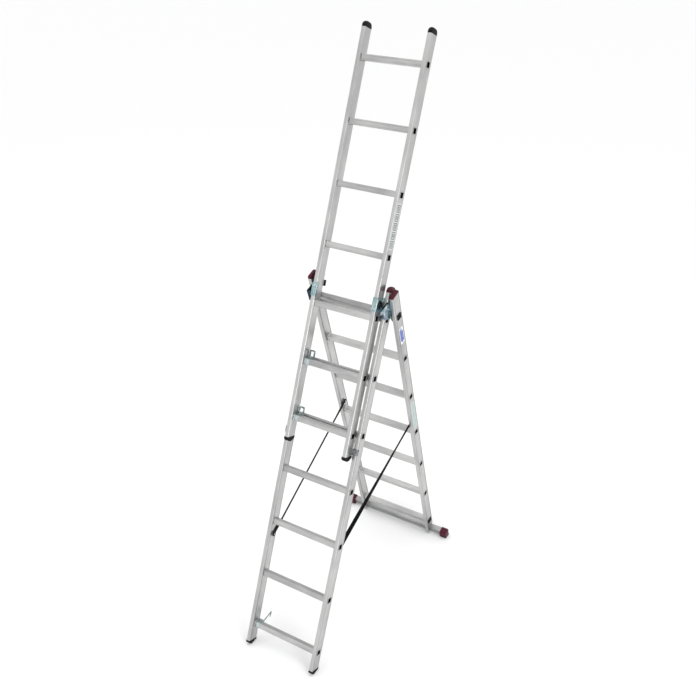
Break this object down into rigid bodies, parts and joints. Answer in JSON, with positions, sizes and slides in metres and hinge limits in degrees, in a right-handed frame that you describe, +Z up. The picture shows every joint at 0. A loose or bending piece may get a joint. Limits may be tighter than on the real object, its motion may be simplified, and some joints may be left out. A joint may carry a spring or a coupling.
{
  "type": "combination ladder",
  "caption": "Three-section aluminium combination ladder: two legs hinge open as a step ladder and the top section slides up above the hinge.",
  "frame": {"origin": "on the floor, in the middle of the ladder's outer box at rest, midway between its feet", "axes": "+Z up, +X across the ladder to the right as seen from the climbing side, +Y from the climbed leg towards the rear leg"},
  "size_m": [0.6666, 1.3312, 2.9064],
  "materials": {
    "mill_aluminium": "satin",
    "ribbed_aluminium": "satin",
    "blue_zinc_steel": "satin",
    "dark_zinc_steel": "satin",
    "black_plastic": "satin",
    "black_rubber": "matte",
    "maroon_plastic": "satin",
    "black_webbing": "matte",
    "printed_film": "satin"
  },
  "bodies": {
    "middle_section": {"middle_stile_right": "mill_aluminium", "middle_stile_left": "mill_aluminium", "middle_rung_1": "ribbed_aluminium", "middle_rung_2": "ribbed_aluminium", "middle_rung_3": "ribbed_aluminium", "middle_rung_4": "ribbed_aluminium", "middle_rung_5": "ribbed_aluminium", "middle_rung_6": "ribbed_aluminium", "middle_rung_7": "ribbed_aluminium", "middle_cap_right": "maroon_plastic", "middle_cap_left": "maroon_plastic", "middle_foot_right": "black_rubber", "middle_foot_left": "black_rubber", "hinge_shoe_right": "blue_zinc_steel", "hinge_shoe_left": "blue_zinc_steel", "guide_clasp_right": "blue_zinc_steel", "guide_clasp_left": "blue_zinc_steel", "middle_strap_anchor_right": "blue_zinc_steel", "middle_strap_anchor_left": "blue_zinc_steel", "transport_hook_saddle": "blue_zinc_steel"},
    "transport_hook": {"transport_hook": "blue_zinc_steel"},
    "top_section": {"top_stile_right": "mill_aluminium", "top_stile_left": "mill_aluminium", "top_rung_1": "ribbed_aluminium", "top_rung_2": "ribbed_aluminium", "top_rung_3": "ribbed_aluminium", "top_rung_4": "ribbed_aluminium", "top_rung_5": "ribbed_aluminium", "top_rung_6": "ribbed_aluminium", "top_rung_7": "ribbed_aluminium", "top_cap_right": "black_plastic", "top_cap_left": "black_plastic", "top_foot_right": "black_rubber", "top_foot_left": "black_rubber", "slide_shoe_right": "blue_zinc_steel", "slide_shoe_left": "blue_zinc_steel", "rung_latch_saddle_1": "blue_zinc_steel", "rung_latch_saddle_2": "blue_zinc_steel"},
    "rung_latch_1": {"rung_latch_1": "blue_zinc_steel"},
    "rung_latch_2": {"rung_latch_2": "blue_zinc_steel"},
    "base_section": {"base_stile_right": "mill_aluminium", "base_stile_left": "mill_aluminium", "base_rung_1": "ribbed_aluminium", "base_rung_2": "ribbed_aluminium", "base_rung_3": "ribbed_aluminium", "base_rung_4": "ribbed_aluminium", "base_rung_5": "ribbed_aluminium", "base_rung_6": "ribbed_aluminium", "base_rung_7": "ribbed_aluminium", "base_cap_right": "maroon_plastic", "base_cap_left": "maroon_plastic", "traverse": "mill_aluminium", "traverse_end_cap_right": "maroon_plastic", "traverse_end_cap_left": "maroon_plastic", "hinge_plate_right": "dark_zinc_steel", "hinge_plate_left": "dark_zinc_steel", "base_strap_anchor_right": "blue_zinc_steel", "base_strap_anchor_left": "blue_zinc_steel", "strap_right": "black_webbing", "strap_left": "black_webbing"}
  },
  "joints": [
    {"name": "fold", "type": "hinge", "parent": "base_section", "child": "middle_section", "pos_m": [0, 0.00013, 1.70077], "axis": [1, 0, 0], "range_deg": [0, 39.6], "deforming": ["strap_right", "strap_left"]},
    {"name": "extend", "type": "slide", "parent": "middle_section", "child": "top_section", "axis": [0, 0.3387, 0.9409], "range_m": [-1.12, 0]},
    {"name": "transport_hook_swing", "type": "hinge", "parent": "middle_section", "child": "transport_hook", "pos_m": [0, -0.57705, 0.11472], "axis": [1, 0, 0], "range_deg": [-20, 60]},
    {"name": "rung_latch_1_swing", "type": "hinge", "parent": "top_section", "child": "rung_latch_1", "pos_m": [0, -0.24659, 1.18612], "axis": [1, 0, 0], "range_deg": [-80, 0]},
    {"name": "rung_latch_2_swing", "type": "hinge", "parent": "top_section", "child": "rung_latch_2", "pos_m": [0, -0.15174, 1.44957], "axis": [1, 0, 0], "range_deg": [-80, 0]}
  ]
}
